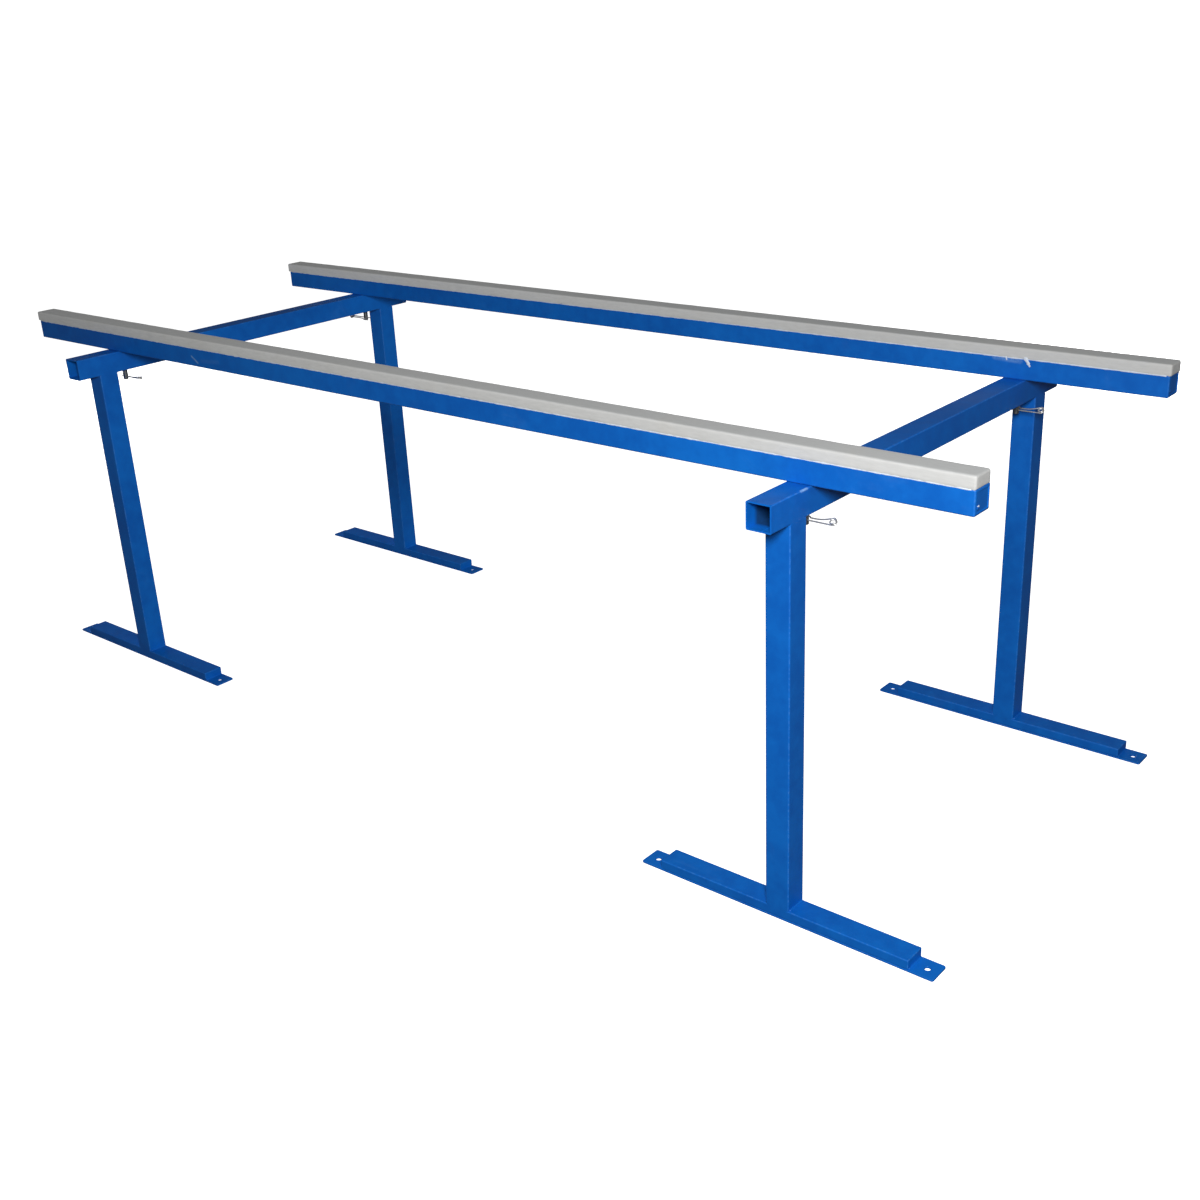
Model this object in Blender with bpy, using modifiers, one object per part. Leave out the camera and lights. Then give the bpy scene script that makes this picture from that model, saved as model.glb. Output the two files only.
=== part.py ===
"""Twin-rail trestle stand.

Two welded end frames (a cross-beam on two legs with long flat feet) carry two long rails with soft cap
strips. Each rail has two studs welded under it. They drop through holes in the cross-beams, and a spring
clip through each stud keeps the rail from lifting off.

X runs along the rails, Y across them and Z up. The origin is on the floor, in the middle of the object's
box. All sizes are in metres.
"""

import math

import bmesh
import bpy
from mathutils import Matrix, Vector

# ---------------------------------------------------------------- driving dimensions

GAP = 0.0003                 # between pieces that touch on the real object

TUBE = 0.050                 # square tube of the legs and the cross-beams
TUBE_WALL = 0.003
TUBE_CORNER = 0.003          # outer corner radius of the rolled tube
CORNER_SEGMENTS = 3

BEAM_UNDERSIDE = 0.772       # height of the cross-beams' underside
BEAM_LENGTH = 1.086
BEAM_SPACING = 2.020         # between the cross-beams' centre lines
LEG_SPACING = 0.926          # between the two legs of one end frame

FOOT_PLATE_LENGTH = 0.634
FOOT_PLATE_THICKNESS = 0.004
FOOT_PLATE_CORNER = 0.002
FOOT_TUBE_LENGTH = 0.538     # over its end plates
FOOT_TUBE_HEIGHT = 0.019
FOOT_TUBE_WALL = 0.002
FOOT_TUBE_CORNER = 0.0025
FOOT_END_THICKNESS = 0.002
LUG_HOLE_DIAMETER = 0.011
LUG_HOLE_INSET = 0.023       # from the plate's end to the hole's centre

RAIL_WIDTH = 0.050
RAIL_HEIGHT = 0.044
RAIL_WALL = 0.002
RAIL_CORNER = 0.003
RAIL_OFFSET_Y = 0.403        # from the middle to each rail's centre line
RAIL_END_THICKNESS = 0.003

# how far each rail and its cap reach to the left and to the right, from midway between the cross-beams
RAIL_REACH = {"near": (1.335, 1.326), "far": (1.306, 1.324)}
CAP_REACH = {"near": (1.343, 1.326), "far": (1.313, 1.326)}

CAP_HEIGHT = 0.022
CAP_CORNER = 0.0015

STUD_DIAMETER = 0.012
STUD_SEGMENTS = 24
STUD_HOLE_DIAMETER = 0.0135  # in the cross-beam's top and bottom walls
STUD_BELOW_BEAM = 0.028      # how far the stud's tip hangs under the cross-beam
STUD_CHAMFER = 0.0015
CLIP_HOLE_DIAMETER = 0.0042
CLIP_BELOW_BEAM = 0.020      # from the cross-beam's underside to the clip hole

WIRE_DIAMETER = 0.0035
CLIP_TAIL = 0.018            # straight arm past the stud's centre
CLIP_REACH = 0.052           # from the stud's centre to the coil's centre
COIL_RADIUS = 0.0055         # to the wire's centre line
COIL_TURNS = 1.5
COIL_PITCH = 0.0037          # rise per turn, a little over one wire
GRIP_RADIUS = 0.0093         # of the bent arm's bow around the stud
GRIP_HALF_ANGLE = math.radians(48)
BENT_ARM_BOW = 0.0022        # how far the bent arm bows towards the straight arm
FLARE_REACH = 0.016          # how far the bent arm's free end flares out past the stud
FLARE_WIDTH = 0.0105
FLARE_CURVE = 1.5            # above 1, the free end curls outwards
COIL_STEPS = 24              # straight pieces of wire that stand for each stretch of the bend
GRIP_STEPS = 8
BENT_ARM_STEPS = 8
FLARE_STEPS = 3
WIRE_RING_STEPS = 2          # between the quarters of the wire's round section

# for each end frame and rail: which way the clip points along X, and its roll about its straight arm
CLIP_SETTINGS = {
    ("left", "near"): (1, math.radians(-20)),
    ("left", "far"): (-1, math.radians(-30)),
    ("right", "near"): (1, math.radians(30)),
    ("right", "far"): (1, math.radians(30)),
}

# ---------------------------------------------------------------- derived places

FOOT_REACH = BEAM_SPACING / 2 + FOOT_PLATE_LENGTH / 2
BEAM_MIDDLE_X = (CAP_REACH["near"][0] - FOOT_REACH) / 2      # puts the origin in the middle of the box
BEAM_X = {"left": BEAM_MIDDLE_X - BEAM_SPACING / 2, "right": BEAM_MIDDLE_X + BEAM_SPACING / 2}
LEG_Y = {"near": -LEG_SPACING / 2, "far": LEG_SPACING / 2}
RAIL_Y = {"near": -RAIL_OFFSET_Y, "far": RAIL_OFFSET_Y}
WAYS = {"left": {"outer": -1, "inner": 1}, "right": {"outer": 1, "inner": -1}}

FOOT_TUBE_BOTTOM = FOOT_PLATE_THICKNESS + GAP
LEG_BOTTOM = FOOT_TUBE_BOTTOM + FOOT_TUBE_HEIGHT + GAP
LEG_TOP = BEAM_UNDERSIDE - GAP
BEAM_TOP = BEAM_UNDERSIDE + TUBE
RAIL_BOTTOM = BEAM_TOP + GAP
RAIL_TOP = RAIL_BOTTOM + RAIL_HEIGHT
CAP_BOTTOM = RAIL_TOP + GAP
CLIP_Z = BEAM_UNDERSIDE - CLIP_BELOW_BEAM

CUT_MARGIN = 0.010           # how far a cutter runs past what it cuts
SMOOTH_UNDER = math.radians(35)
MERGE_WITHIN = 0.00005


# ---------------------------------------------------------------- scene and materials

def clear_scene():
    for thing in list(bpy.data.objects):
        bpy.data.objects.remove(thing, do_unlink=True)


def collection(name):
    made = bpy.data.collections.new(name)
    bpy.context.scene.collection.children.link(made)
    return made


def material(name, colour, roughness, metallic=0.0):
    made = bpy.data.materials.new(name)
    made.use_nodes = True
    shader = made.node_tree.nodes["Principled BSDF"]
    shader.inputs["Base Color"].default_value = (*colour, 1.0)
    shader.inputs["Roughness"].default_value = roughness
    shader.inputs["Metallic"].default_value = metallic
    made.diffuse_color = (*colour, 1.0)
    return made


# ---------------------------------------------------------------- shapes

def add_object(name, mesh, location, group, finish):
    made = bpy.data.objects.new(name, mesh)
    made.location = location
    made.data.materials.append(finish)
    group.objects.link(made)
    return made


def mesh_from(name, shape):
    mesh = bpy.data.meshes.new(name)
    shape.to_mesh(mesh)
    shape.free()
    return mesh


def sized_cube(size):
    shape = bmesh.new()
    bmesh.ops.create_cube(shape, size=1.0)
    bmesh.ops.scale(shape, vec=size, verts=shape.verts)
    return shape


def edges_along(shape, axis):
    """The edges that run along one axis, 0 for X, 1 for Y and 2 for Z."""
    return [e for e in shape.edges if abs((e.verts[1].co - e.verts[0].co).normalized()[axis]) > 0.99]


def square_tube(name, size, axis, wall, corner, location, group, finish):
    """An open-ended tube with rounded corners: size is its box, and axis is the way it runs."""
    shape = sized_cube(size)
    shape.normal_update()
    ends = [f for f in shape.faces if abs(f.normal[axis]) > 0.99]
    bmesh.ops.delete(shape, geom=ends, context="FACES_ONLY")
    bmesh.ops.bevel(shape, geom=edges_along(shape, axis), offset=corner, segments=CORNER_SEGMENTS,
                    profile=0.5, affect="EDGES")
    tube = add_object(name, mesh_from(name, shape), location, group, finish)
    skin = tube.modifiers.new("wall", "SOLIDIFY")
    skin.thickness = wall
    skin.offset = -1.0
    skin.use_even_offset = True
    return tube


def flat_bar(name, size, axis, corner, location, group, finish):
    """A solid bar whose four edges along one axis are rounded."""
    shape = sized_cube(size)
    bmesh.ops.bevel(shape, geom=edges_along(shape, axis), offset=corner, segments=CORNER_SEGMENTS,
                    profile=0.5, affect="EDGES")
    return add_object(name, mesh_from(name, shape), location, group, finish)


def cylinder_mesh(name, radius, length, segments, turn=None):
    """A closed cylinder about its own centre, along Z unless it is turned."""
    shape = bmesh.new()
    bmesh.ops.create_cone(shape, cap_ends=True, segments=segments, radius1=radius, radius2=radius,
                          depth=length, matrix=turn or Matrix.Identity(4))
    mesh = mesh_from(name, shape)
    mesh.shade_smooth()
    mesh.set_sharp_from_angle(angle=SMOOTH_UNDER)
    return mesh


def drill(target, name, mesh, location, cutters):
    """Cuts a hole with a hidden cutter object."""
    cutter = bpy.data.objects.new(name, mesh)
    cutter.location = location
    cutter.hide_render = True
    cutter.display_type = "WIRE"
    cutters.objects.link(cutter)
    cut = target.modifiers.new(name, "BOOLEAN")
    cut.operation = "DIFFERENCE"
    cut.solver = "EXACT"
    cut.object = cutter


# ---------------------------------------------------------------- end frames

def crossbeam(end, parts, cutters, paint):
    beam = square_tube(f"crossbeam_{end}", (TUBE, BEAM_LENGTH, TUBE), 1, TUBE_WALL, TUBE_CORNER,
                       (BEAM_X[end], 0, BEAM_UNDERSIDE + TUBE / 2), parts, paint)
    for side, y in RAIL_Y.items():
        name = f"stud_hole_{side}_{end}"
        mesh = cylinder_mesh(name, STUD_HOLE_DIAMETER / 2, TUBE + 2 * CUT_MARGIN, STUD_SEGMENTS)
        drill(beam, name, mesh, (BEAM_X[end], y, BEAM_UNDERSIDE + TUBE / 2), cutters)


def leg(side, end, parts, paint):
    length = LEG_TOP - LEG_BOTTOM
    square_tube(f"leg_{side}_{end}", (TUBE, TUBE, length), 2, TUBE_WALL, TUBE_CORNER,
                (BEAM_X[end], LEG_Y[side], (LEG_TOP + LEG_BOTTOM) / 2), parts, paint)


def foot_plate(side, end, parts, cutters, paint):
    x, y = BEAM_X[end], LEG_Y[side]
    middle_z = FOOT_PLATE_THICKNESS / 2
    plate = flat_bar(f"foot_plate_{side}_{end}", (FOOT_PLATE_LENGTH, TUBE, FOOT_PLATE_THICKNESS), 2,
                     FOOT_PLATE_CORNER, (x, y, middle_z), parts, paint)
    for tag, way in WAYS[end].items():
        name = f"lug_hole_{side}_{end}_{tag}"
        mesh = cylinder_mesh(name, LUG_HOLE_DIAMETER / 2, FOOT_PLATE_THICKNESS + 2 * CUT_MARGIN,
                             STUD_SEGMENTS)
        hole_x = x + way * (FOOT_PLATE_LENGTH / 2 - LUG_HOLE_INSET)
        drill(plate, name, mesh, (hole_x, y, middle_z), cutters)


def foot_tube(side, end, parts, paint):
    length = FOOT_TUBE_LENGTH - 2 * (FOOT_END_THICKNESS + GAP)
    square_tube(f"foot_tube_{side}_{end}", (length, TUBE, FOOT_TUBE_HEIGHT), 0, FOOT_TUBE_WALL,
                FOOT_TUBE_CORNER, (BEAM_X[end], LEG_Y[side], FOOT_TUBE_BOTTOM + FOOT_TUBE_HEIGHT / 2),
                parts, paint)


def foot_end_plates(side, end, parts, paint):
    """The two plates that close a foot tube."""
    shift = (FOOT_TUBE_LENGTH - FOOT_END_THICKNESS) / 2
    for tag, way in WAYS[end].items():
        flat_bar(f"foot_end_{side}_{end}_{tag}", (FOOT_END_THICKNESS, TUBE, FOOT_TUBE_HEIGHT), 0,
                 FOOT_TUBE_CORNER, (BEAM_X[end] + way * shift, LEG_Y[side],
                                    FOOT_TUBE_BOTTOM + FOOT_TUBE_HEIGHT / 2), parts, paint)


# ---------------------------------------------------------------- rails

def ends_from(reach):
    """The X of a rail's or cap's left and right end."""
    return BEAM_MIDDLE_X - reach[0], BEAM_MIDDLE_X + reach[1]


def rail(side, parts, paint):
    left, right = ends_from(RAIL_REACH[side])
    length = right - left - 2 * (RAIL_END_THICKNESS + GAP)
    square_tube(f"rail_{side}", (length, RAIL_WIDTH, RAIL_HEIGHT), 0, RAIL_WALL, RAIL_CORNER,
                ((left + right) / 2, RAIL_Y[side], RAIL_BOTTOM + RAIL_HEIGHT / 2), parts, paint)
    for end, x in (("left", left + RAIL_END_THICKNESS / 2), ("right", right - RAIL_END_THICKNESS / 2)):
        flat_bar(f"rail_end_{side}_{end}", (RAIL_END_THICKNESS, RAIL_WIDTH, RAIL_HEIGHT), 0, RAIL_CORNER,
                 (x, RAIL_Y[side], RAIL_BOTTOM + RAIL_HEIGHT / 2), parts, paint)


def cap_strip(side, parts, soft):
    left, right = ends_from(CAP_REACH[side])
    flat_bar(f"cap_{side}", (right - left, RAIL_WIDTH, CAP_HEIGHT), 0, CAP_CORNER,
             ((left + right) / 2, RAIL_Y[side], CAP_BOTTOM + CAP_HEIGHT / 2), parts, soft)


def stud(side, end, parts, cutters, steel):
    """A stud from the rail's underside to below the cross-beam, its origin at the clip hole."""
    top = RAIL_BOTTOM - GAP - CLIP_Z
    tip = BEAM_UNDERSIDE - STUD_BELOW_BEAM - CLIP_Z
    radius = STUD_DIAMETER / 2
    name = f"stud_{side}_{end}"
    shape = bmesh.new()
    profile = [Vector((0, 0, top)), Vector((radius, 0, top)), Vector((radius, 0, tip + STUD_CHAMFER)),
               Vector((radius - STUD_CHAMFER, 0, tip)), Vector((0, 0, tip))]
    verts = [shape.verts.new(point) for point in profile]
    for first, second in zip(verts, verts[1:]):
        shape.edges.new((first, second))
    pin = add_object(name, mesh_from(name, shape), (BEAM_X[end], RAIL_Y[side], CLIP_Z), parts, steel)
    turn = pin.modifiers.new("turned", "SCREW")
    turn.steps = STUD_SEGMENTS
    turn.render_steps = STUD_SEGMENTS
    turn.use_smooth_shade = True
    turn.use_merge_vertices = True
    turn.merge_threshold = MERGE_WITHIN
    hole = f"clip_hole_{side}_{end}"
    along_x = Matrix.Rotation(math.radians(90), 4, "Y")
    length = STUD_DIAMETER + 2 * CUT_MARGIN
    mesh = cylinder_mesh(hole, CLIP_HOLE_DIAMETER / 2, length, STUD_SEGMENTS, along_x)
    drill(pin, hole, mesh, pin.location, cutters)


# ---------------------------------------------------------------- spring clips

def arc(centre, radius, start, stop, steps, rise=0.0):
    """Points on an arc in the clip's own plane, rising evenly out of that plane."""
    points = []
    for i in range(steps + 1):
        angle = start + (stop - start) * i / steps
        points.append(Vector((centre[0] + radius * math.cos(angle), centre[1] + radius * math.sin(angle),
                              rise * i / steps)))
    return points


def clip_route():
    """The wire's centre line: straight arm along +X through the origin, coil, then the bent arm back.

    The bent arm lies on the +Y side. It bows round the stud at the origin and its end flares out.
    """
    tail = [Vector((-CLIP_TAIL, 0, 0)), Vector((0, 0, 0)), Vector((CLIP_REACH / 2, 0, 0))]
    rise = COIL_PITCH * COIL_TURNS
    start = math.radians(-90)
    coil = arc((CLIP_REACH, COIL_RADIUS), COIL_RADIUS, start, start + COIL_TURNS * math.tau,
               COIL_STEPS, rise)
    across = math.radians(90)
    grip = arc((0, 0), GRIP_RADIUS, across - GRIP_HALF_ANGLE, across + GRIP_HALF_ANGLE, GRIP_STEPS)
    throat = grip[0]
    leave = coil[-1]
    bent = []
    for i in range(1, BENT_ARM_STEPS):
        t = i / BENT_ARM_STEPS
        bow = -BENT_ARM_BOW * math.sin(math.pi * t)
        bent.append(Vector((leave.x + (throat.x - leave.x) * t, leave.y + (throat.y - leave.y) * t + bow,
                            rise * (1 - t) ** 2)))
    flare = []
    last = grip[-1]
    for i in range(1, FLARE_STEPS + 1):
        t = i / FLARE_STEPS
        flare.append(Vector((last.x + (-FLARE_REACH - last.x) * t,
                             last.y + (FLARE_WIDTH - last.y) * t ** FLARE_CURVE, 0)))
    return tail + coil + bent + grip + flare


def r_clip(side, end, parts, wire):
    """A bent-wire clip, its origin where its straight arm crosses the stud's axis."""
    way, roll = CLIP_SETTINGS[(end, side)]
    name = f"clip_{side}_{end}"
    curve = bpy.data.curves.new(name, "CURVE")
    curve.dimensions = "3D"
    curve.bevel_depth = WIRE_DIAMETER / 2
    curve.bevel_resolution = WIRE_RING_STEPS
    curve.use_fill_caps = True
    route = clip_route()
    spline = curve.splines.new("POLY")
    spline.points.add(len(route) - 1)
    turn = Matrix.Rotation(math.radians(0 if way > 0 else 180), 3, "Z") @ Matrix.Rotation(roll, 3, "X")
    for point, place in zip(spline.points, route):
        point.co = (*(turn @ place), 1.0)
    add_object(name, curve, (BEAM_X[end], RAIL_Y[side], CLIP_Z), parts, wire)


# ---------------------------------------------------------------- assembly

def main():
    clear_scene()
    parts = collection("twin_rail_trestle")
    cutters = collection("cutters")
    cutters.hide_render = True
    paint = material("blue_paint", (0.010, 0.130, 0.560), 0.38)
    soft = material("grey_strip", (0.52, 0.53, 0.52), 0.90)
    steel = material("zinc_steel", (0.62, 0.62, 0.60), 0.35, 1.0)
    wire = material("bright_wire", (0.70, 0.70, 0.69), 0.28, 1.0)
    for end in BEAM_X:
        crossbeam(end, parts, cutters, paint)
        for side in LEG_Y:
            leg(side, end, parts, paint)
            foot_plate(side, end, parts, cutters, paint)
            foot_tube(side, end, parts, paint)
            foot_end_plates(side, end, parts, paint)
            stud(side, end, parts, cutters, steel)
            r_clip(side, end, parts, wire)
    for side in RAIL_Y:
        rail(side, parts, paint)
        cap_strip(side, parts, soft)


main()
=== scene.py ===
"""Twin-rail trestle stand: the finished look of every piece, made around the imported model.

Two welded end frames carry two long blue rails with soft grey strips on top. Each operator below makes one
piece, or one group of like pieces, and the stage operator adds the floor, the lights and the camera.
X runs along the rails, Y across them and Z up, in metres.
"""

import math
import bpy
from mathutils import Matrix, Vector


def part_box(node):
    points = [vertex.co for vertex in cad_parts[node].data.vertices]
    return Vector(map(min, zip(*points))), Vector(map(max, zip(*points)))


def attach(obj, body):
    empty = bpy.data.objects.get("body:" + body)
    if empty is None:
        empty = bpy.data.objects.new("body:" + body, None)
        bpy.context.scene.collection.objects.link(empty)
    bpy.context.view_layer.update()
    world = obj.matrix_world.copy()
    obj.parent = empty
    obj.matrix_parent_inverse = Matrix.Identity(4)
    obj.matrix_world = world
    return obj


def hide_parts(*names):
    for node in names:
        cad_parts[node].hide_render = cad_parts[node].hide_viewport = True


bl_info = {
    "name": "Twin-Rail Trestle Stand",
    "version": (1, 0, 0),
    "blender": (4, 5, 0),
    "location": "3D View > Sidebar > Trestle",
    "description": "Painted steel trestle with two padded rails, studs and spring clips",
    "category": "Object",
}

import bmesh
import bpy
from bpy.props import FloatProperty, FloatVectorProperty, IntProperty, PointerProperty
from mathutils import Matrix, Vector

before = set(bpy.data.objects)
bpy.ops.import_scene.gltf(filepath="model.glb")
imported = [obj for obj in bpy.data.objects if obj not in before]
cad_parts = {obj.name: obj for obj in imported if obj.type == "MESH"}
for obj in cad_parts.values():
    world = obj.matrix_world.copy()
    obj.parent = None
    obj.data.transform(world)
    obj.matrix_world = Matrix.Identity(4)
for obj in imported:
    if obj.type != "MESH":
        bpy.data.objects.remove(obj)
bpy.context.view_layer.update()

SIDES = ("near", "far")
ENDS = ("left", "right")
PLACES = tuple(f"{side}_{end_name}" for side in SIDES for end_name in ENDS)
X, Y, Z = Vector((1, 0, 0)), Vector((0, 1, 0)), Vector((0, 0, 1))

SMOOTH_UNDER = 52                    # degrees between faces that are shaded as one curve
WELD_SMOOTH = 70

BEAM_LOW, BEAM_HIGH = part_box("crossbeam_left")
LEG_LOW, LEG_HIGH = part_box("leg_near_left")
STUD_LOW, STUD_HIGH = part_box("stud_near_left")
RAIL_LOW, RAIL_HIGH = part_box("rail_near")


# ---------------------------------------------------------------- sizes and colours

def length_property(name, description, default, smallest=0.0):
    return FloatProperty(name=name, description=description, default=default, min=smallest, unit="LENGTH")


class TrestleSizes(bpy.types.PropertyGroup):
    """Sizes that a maker may change."""

    tube_wall: length_property("Tube Wall", "Wall of the square tube in beams and legs", 0.003, 0.001)
    tube_corner: length_property("Tube Corner", "Outer corner radius of the square tube", 0.003, 0.001)
    foot_corner: length_property("Foot Corner", "Corner radius of the foot tube", 0.0025, 0.0005)
    rail_corner: length_property("Rail Corner", "Corner radius of the rails and their ends", 0.003, 0.001)
    cut_edge: length_property("Cut Edge", "Softening of sawn and drilled edges", 0.0005, 0.0001)
    corner_steps: IntProperty(name="Corner Steps", description="Faces round each tube corner",
                              default=6, min=2)
    stud_hole: length_property("Stud Hole", "Diameter of the holes for the studs", 0.0135)
    lug_hole: length_property("Lug Hole", "Diameter of the floor anchor holes", 0.011)
    lug_inset: length_property("Lug Inset", "From the foot plate's end to the hole's centre", 0.023)
    clip_hole: length_property("Clip Hole", "Diameter of the hole across each stud", 0.0042)
    clip_height: length_property("Clip Height", "From a stud's tip up to its clip hole", 0.008)
    wire: length_property("Clip Wire", "Diameter of the clip wire", 0.0028)
    bead: length_property("Weld Bead", "Radius of the fillet weld beads", 0.003)
    strip_corner: length_property("Strip Corner", "Rounding of the soft strips' edges", 0.004)
    strip_lumps: length_property("Strip Lumps", "How uneven the soft strips are", 0.0007)
    glue_line: length_property("Glue Line", "Radius of the glue squeezed out under the strips", 0.0017)


def colour_property(name, description, default):
    return FloatVectorProperty(name=name, description=description, default=default, subtype="COLOR",
                               min=0.0, max=1.0)


class TrestleColours(bpy.types.PropertyGroup):
    """Colours that a maker may change."""

    paint: colour_property("Paint", "The blue coat", (0.0035, 0.170, 0.670))
    paint_deep: colour_property("Deep Paint", "The blue coat where it lies thick", (0.0022, 0.124, 0.550))
    paint_worn: colour_property("Worn Paint", "The coat where corners and scuffs have worn pale",
                                (0.110, 0.330, 0.760))
    strip: colour_property("Strip", "Sides of the soft strips", (0.67, 0.67, 0.655))
    # painted shade: the strips' tops are drawn in this darker grey, as if less light fell on them
    strip_top: colour_property("Strip Top", "Top of the soft strips, greyed by use", (0.57, 0.58, 0.575))
    glue: colour_property("Glue", "Glue along the strips", (0.70, 0.78, 0.90))
    # painted shade: the zinc is darkened to stand in for the rails' shadow on the studs
    zinc: colour_property("Zinc", "Plated studs", (0.28, 0.29, 0.30))
    wire: colour_property("Wire", "Bright drawn wire", (0.80, 0.80, 0.78))
    floor: colour_property("Floor", "Studio floor", (0.90, 0.90, 0.90))


# ---------------------------------------------------------------- modelling helpers

def deselect():
    bpy.ops.object.select_all(action="DESELECT")


def activate(piece):
    deselect()
    piece.select_set(True)
    bpy.context.view_layer.objects.active = piece


def settle(piece):
    """Puts the object at the origin, unturned and unscaled, with its place in its mesh."""
    activate(piece)
    bpy.ops.object.transform_apply(location=True, rotation=True, scale=True)
    return piece


def named(name):
    piece = bpy.context.object
    piece.name = piece.data.name = name
    return settle(piece)


def block(name, low, high):
    """A cube primitive that fills a box."""
    deselect()
    bpy.ops.mesh.primitive_cube_add(size=1, location=(low + high) / 2, scale=high - low)
    return named(name)


def rod(name, radius, start, stop, steps, fill="NGON"):
    """A cylinder primitive between two points."""
    deselect()
    run = stop - start
    bpy.ops.mesh.primitive_cylinder_add(vertices=steps, radius=radius, depth=run.length, end_fill_type=fill,
                                        location=(start + stop) / 2,
                                        rotation=run.to_track_quat("Z", "Y").to_euler())
    return named(name)


def begin(piece, mode):
    activate(piece)
    bpy.ops.object.mode_set(mode="EDIT")
    bpy.ops.mesh.select_mode(type=mode)


def end():
    bpy.ops.object.mode_set(mode="OBJECT")


def pick(piece, kind, test):
    """In edit mode, selects just the verts, edges or faces that pass a test."""
    bpy.ops.mesh.select_all(action="DESELECT")
    mesh = bmesh.from_edit_mesh(piece.data)
    mesh.normal_update()
    chosen = [item for item in getattr(mesh, kind) if test(item)]
    if not chosen:
        raise RuntimeError(f"{piece.name}: nothing to work on among its {kind}")
    for item in chosen:
        item.select_set(True)
    bmesh.update_edit_mesh(piece.data)


def bevel(width, steps):
    """In edit mode, rounds the selected edges."""
    bpy.ops.mesh.bevel(offset=width, segments=steps, profile=0.5, affect="EDGES")


def cut(piece, test, cuts):
    """In edit mode, subdivides the edges that pass a test."""
    pick(piece, "edges", test)
    bpy.ops.mesh.subdivide(number_cuts=cuts)


def select_all():
    bpy.ops.mesh.select_all(action="SELECT")


def shake(distance, seed):
    """In edit mode, moves every vertex a little at random."""
    select_all()
    bpy.ops.transform.vertex_random(offset=distance, seed=seed)


def squashed_drop(radius, shape, segments=18, rings=14):
    """A sphere primitive squashed to a shape, left in edit mode."""
    deselect()
    bpy.ops.mesh.primitive_uv_sphere_add(segments=segments, ring_count=rings, radius=radius)
    begin(bpy.context.object, "VERT")
    select_all()
    bpy.ops.transform.resize(value=shape)
    return bpy.context.object


def runs_along(axis, longer_than=0.0):
    """A test for edges that run along an axis."""
    def test(edge):
        run = edge.verts[1].co - edge.verts[0].co
        return run.length > longer_than and abs(run.dot(axis)) > 0.999 * run.length
    return test


def faces_along(axis):
    """A test for faces that look along an axis, either way."""
    return lambda face: abs(face.normal.dot(axis)) > 0.99


def finish_with(piece, kind, **settings):
    """Adds one modifier and applies it."""
    activate(piece)
    modifier = piece.modifiers.new(kind.lower(), kind)
    for key, value in settings.items():
        setattr(modifier, key, value)
    bpy.ops.object.modifier_apply(modifier=modifier.name)
    return piece


def drill(piece, radius, start, stop, steps=40):
    cutter = rod("drill", radius, start, stop, steps)
    finish_with(piece, "BOOLEAN", operation="DIFFERENCE", solver="EXACT", object=cutter)
    bpy.data.objects.remove(cutter)


def soften(piece, width, steps=2, smooth_under=SMOOTH_UNDER):
    """Rounds the sharp edges a little, then shades the piece smooth with its flats kept flat."""
    finish_with(piece, "BEVEL", width=width, segments=steps, limit_method="ANGLE",
                angle_limit=math.radians(smooth_under), use_clamp_overlap=True)
    shade(piece, smooth_under)


def shade(piece, smooth_under=SMOOTH_UNDER):
    activate(piece)
    bpy.ops.object.shade_smooth_by_angle(angle=math.radians(smooth_under))
    finish_with(piece, "WEIGHTED_NORMAL", mode="FACE_AREA", weight=80, keep_sharp=True)


def shade_all(piece):
    activate(piece)
    bpy.ops.object.shade_smooth()


def mark_edges(piece, low, high, corner):
    """Writes how far each vertex lies on a rounded outer edge of its box, for the paint's worn corners."""
    layer = piece.data.attributes.new("edge", "FLOAT", "POINT")
    deepest = corner * (1 - math.sqrt(0.5))
    for vertex, value in zip(piece.data.vertices, layer.data):
        depths = sorted(min(abs(vertex.co[i] - low[i]), abs(high[i] - vertex.co[i])) for i in range(3))
        on_edge = depths[1] < corner * 1.05 and depths[0] < deepest * 1.2
        value.value = min(1.0, depths[0] / deepest) if on_edge else 0


def mark_inside_shade(piece, low, high, wall):
    """Writes which vertices lie deep inside a tube along Y, where the paint is drawn with painted shade."""
    layer = piece.data.attributes.new("inside", "FLOAT", "POINT")
    middle = (low + high) / 2
    room = (high.x - low.x) / 2 - wall / 2
    for vertex, value in zip(piece.data.vertices, layer.data):
        away = vertex.co - middle
        deep = abs(away.y) < (high.y - low.y) / 2 - SHADE_DEPTH * 1.2
        value.value = float(deep and max(abs(away.x), abs(away.z)) < room)


def copy_of(piece, name, shift):
    """A copy with its own mesh, moved and settled."""
    made = piece.copy()
    made.data = piece.data.copy()
    bpy.context.scene.collection.objects.link(made)
    made.name = made.data.name = name
    made.location = shift
    return settle(made)


def at_each_place(piece, node, name):
    """Yields each place and what stands there: the piece itself at the first, copies of it at the others."""
    for place in PLACES:
        if place != PLACES[0]:
            shift = shift_between(f"{node}_{PLACES[0]}", f"{node}_{place}")
            yield place, copy_of(piece, name.format(place), shift)
        else:
            yield place, piece


def join(name, pieces):
    """Joins pieces into the first of them."""
    deselect()
    for piece in pieces:
        piece.select_set(True)
    bpy.context.view_layer.objects.active = pieces[0]
    bpy.ops.object.join()
    return named(name)


def dress(piece, body, slot, *nodes, look=None):
    """Gives a piece its material, named by its slot or look, parents it under its CAD body, and hides the CAD
    nodes that it stands for.
    """
    piece.data.materials.clear()
    piece.data.materials.append(material(look or slot))
    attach(piece, body)
    if nodes:
        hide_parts(*nodes)


def shift_between(first, second):
    """How far one CAD node lies from a like one."""
    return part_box(second)[0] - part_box(first)[0]


def on(node, *offset):
    """A place measured from a CAD node's lowest corner."""
    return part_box(node)[0] + Vector(offset)


# ---------------------------------------------------------------- shader maths

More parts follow.
